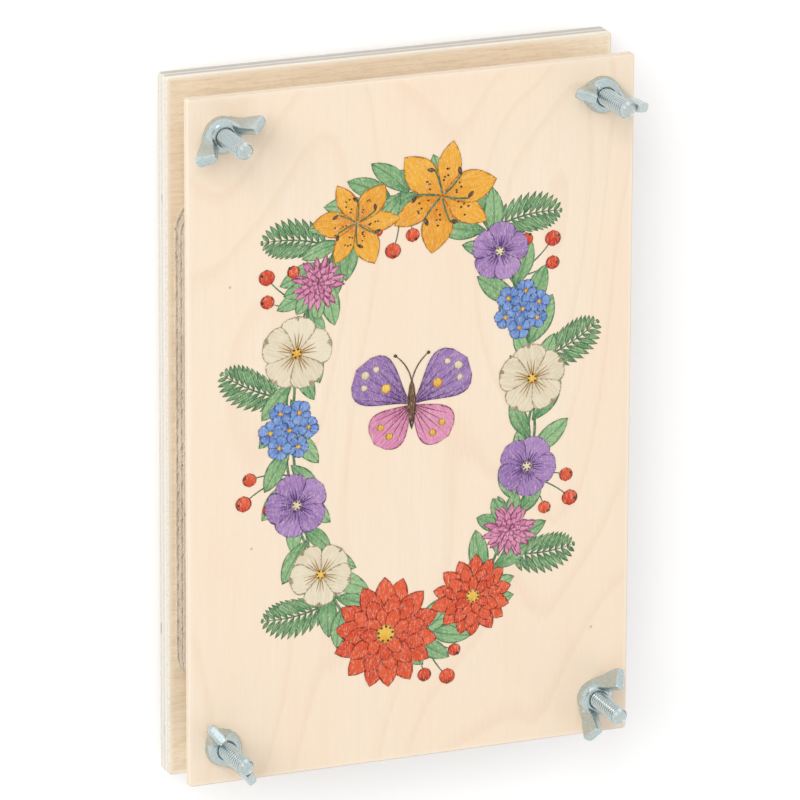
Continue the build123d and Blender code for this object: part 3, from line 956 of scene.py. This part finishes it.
# Where on the oval each piece grows, in degrees, then a fern's curl, a twig's side and whether it points out,
# or a flower's radius in millimetres and its rotation.
FERNS = ((52, -0.5), (128, 0.5), (232, -0.5), (318, 0.5), (10, 0.4), (172, -0.4))
TWIGS = ((35, 1, 1), (97, -1, -1), (147, -1, 1), (192, 1, 1), (276, 1, 1), (340, -1, 1))
FLOWERS = (
    (dahlia, (), ((258, 20.0, 0.1), (301, 15.0, 0.5))),
    (lily, (), ((76, 20.0, 0.3), (117, 16.0, 1.0))),
    (five_petals, ("cream", 0.16, "gold"), ((6, 12.5, 0.4), (160, 13.0, 0.2), (222, 11.5, 0.9))),
    (five_petals, ("violet", 0.0, "cream"), ((44, 10.5, 0.2), (200, 11.5, 0.6), (343, 11.0, 1.1))),
    (clover, (), ((140, 9.5, 0.9), (325, 10.0, 5.2))),
    (blue_cluster, (), ((25, 10.5, 0.3), (180, 11.0, 0.0))),
)
turns = np.linspace(0, 360, 240)
for sway in (-STEM_SWAY, STEM_SWAY):
    path, _ = garland(turns, sway * np.sin(np.radians(turns * STEM_WAVES)))
    strokes("green", STEM, path[None], 1.0, thin=1.0)
turns = np.arange(0, 360, LEAF_STEP)
for side, layer in ((1, LEAF), (-1, UNDER_LEAF)):
    path, heading = garland(turns + 2 * side)
    lengths = dice.uniform(*LEAF_LENGTHS, len(turns))
    ways = heading + 0.75 * side + dice.normal(0, 0.15, len(turns))
    petals("green", layer, path, ways, lengths, lengths * 0.4, belly=1.1, blunt=0.75, bend=-0.12 * side)
for at, curl in FERNS:
    path, heading = garland(at)
    fern(path, heading - np.pi / 2 + curl * 0.4, FERN_LENGTH, curl)
for at, side, outwards in TWIGS:
    path, heading = garland(at)
    berry_twig(path, heading - np.pi / 2 * outwards, TWIG_LENGTH, side)
for flower, looks, places in FLOWERS:
    for at, radius, rotation in places:
        flower(garland(at)[0], radius, rotation, *looks)
butterfly(middle=(0.0, 6.0), span=44.0)

PENCILS = {
    "green": ((156, 196, 142), (92, 146, 96), (66, 104, 74)),
    "red": ((232, 100, 64), (196, 54, 36), (112, 34, 28)),
    "orange": ((246, 184, 70), (224, 138, 34), (148, 92, 32)),
    "violet": ((182, 146, 198), (120, 84, 152), (76, 54, 100)),
    "pink": ((228, 152, 186), (190, 92, 140), (112, 48, 78)),
    "blue": ((128, 164, 220), (70, 106, 176), (46, 66, 116)),
    "cream": ((240, 228, 202), (212, 196, 164), (140, 124, 98)),
    "gold": ((246, 204, 90), (226, 160, 50), (150, 102, 36)),
    "brown": ((116, 84, 62), (84, 60, 46), (60, 44, 36)),
    "violet_line": ((96, 64, 130), (84, 56, 116), (70, 48, 96)),
    "cream_line": ((206, 170, 104), (184, 146, 84), (150, 116, 66)),
}
VEINS = {"green": 0.55}
names = list(PENCILS)
points = np.concatenate([batch[1] for batch in drawing])
starts = np.cumsum([0] + [len(batch[1]) for batch in drawing[:-1]])
faces = np.concatenate([batch[2] + start for batch, start in zip(drawing, starts)])
slots = np.concatenate([np.full(len(batch[2]), names.index(batch[0])) for batch in drawing])
mesh = bpy.data.meshes.new("flower_print")
mesh.from_pydata(points.tolist(), [], faces.tolist())
for key in ("along", "across", "share", "rim", "tone"):
    layer = mesh.attributes.new(key, "FLOAT", "POINT")
    layer.data.foreach_set("value", np.concatenate([batch[3][key] for batch in drawing]).astype(np.float32))
for name, tints in PENCILS.items():
    mesh.materials.append(pencil(f"{name}_pencil", *(srgb(*tint) for tint in tints), VEINS.get(name, 0.0)))
mesh.polygons.foreach_set("material_index", slots.astype(np.int32))
flower_print = bpy.data.objects.new("flower_print", mesh)
bpy.context.collection.objects.link(flower_print)
film = flower_print.modifiers.new("film", "SOLIDIFY")
film.thickness = PRINT_FILM
film.offset = -1.0
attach(flower_print, "front")
